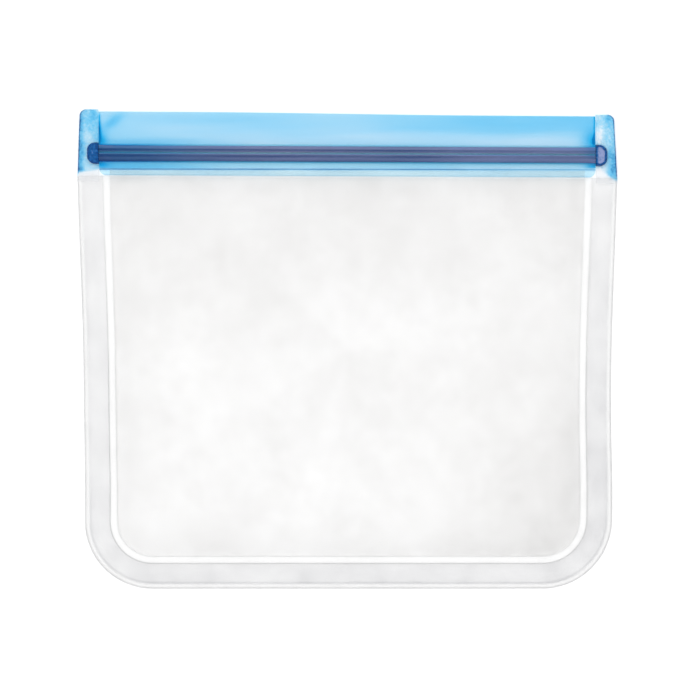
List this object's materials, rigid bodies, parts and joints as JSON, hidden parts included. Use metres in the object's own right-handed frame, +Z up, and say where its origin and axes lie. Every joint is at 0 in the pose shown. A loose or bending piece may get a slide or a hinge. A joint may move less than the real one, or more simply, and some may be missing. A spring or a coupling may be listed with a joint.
{
  "type": "reusable zip bag",
  "caption": "Flat clear reusable food bag with a welded round-cornered border, a translucent blue header and a press-to-close zipper.",
  "frame": {"origin": "middle of the footprint, on the surface that the bag's back wall lies on", "axes": "+X along the zipper to the right, +Y from the bottom seam to the mouth, +Z up, out of the front wall"},
  "size_m": [0.203, 0.18, 0.014],
  "materials": {
    "wall_film": "clear, smooth, faintly milky film",
    "seam_film": "two clear films fused flat, satin",
    "weld_bead": "clear raised weld bead, glossy",
    "tab_film": "crushed, mottled pale blue film",
    "zipper_stop": "translucent dark blue, fused and glossy",
    "lap_film": "pale blue where clear and blue film overlap",
    "header_film": "translucent light blue film, satin",
    "zipper_tape": "translucent stronger blue film",
    "zipper_profile": "translucent dark blue extrusion, glossy"
  },
  "bodies": {
    "root": {"back_panel": "wall_film", "front_panel": "wall_film", "seam_flange": "seam_film", "inner_seam_bead": "weld_bead", "outer_seam_bead": "weld_bead", "left_end_tab": "tab_film", "right_end_tab": "tab_film", "left_zipper_stop": "zipper_stop", "right_zipper_stop": "zipper_stop"},
    "front_lip": {"front_mouth_panel": "wall_film", "front_lap_weld": "lap_film", "front_header": "header_film", "front_zipper_tape": "zipper_tape", "lower_zipper_channel": "zipper_profile", "upper_zipper_channel": "zipper_profile"},
    "back_lip": {"back_mouth_panel": "wall_film", "back_lap_weld": "lap_film", "back_header": "header_film", "back_zipper_tape": "zipper_tape", "lower_zipper_rib": "zipper_profile", "upper_zipper_rib": "zipper_profile"}
  },
  "joints": [
    {"name": "front_lip_open", "type": "hinge", "parent": "root", "child": "front_lip", "pos_m": [0, 0.031, 0.0135], "axis": [1, 0, 0], "range_deg": [0, 35]},
    {"name": "back_lip_open", "type": "hinge", "parent": "root", "child": "back_lip", "pos_m": [0, 0.031, 0], "axis": [-1, 0, 0], "range_deg": [0, 35]}
  ]
}
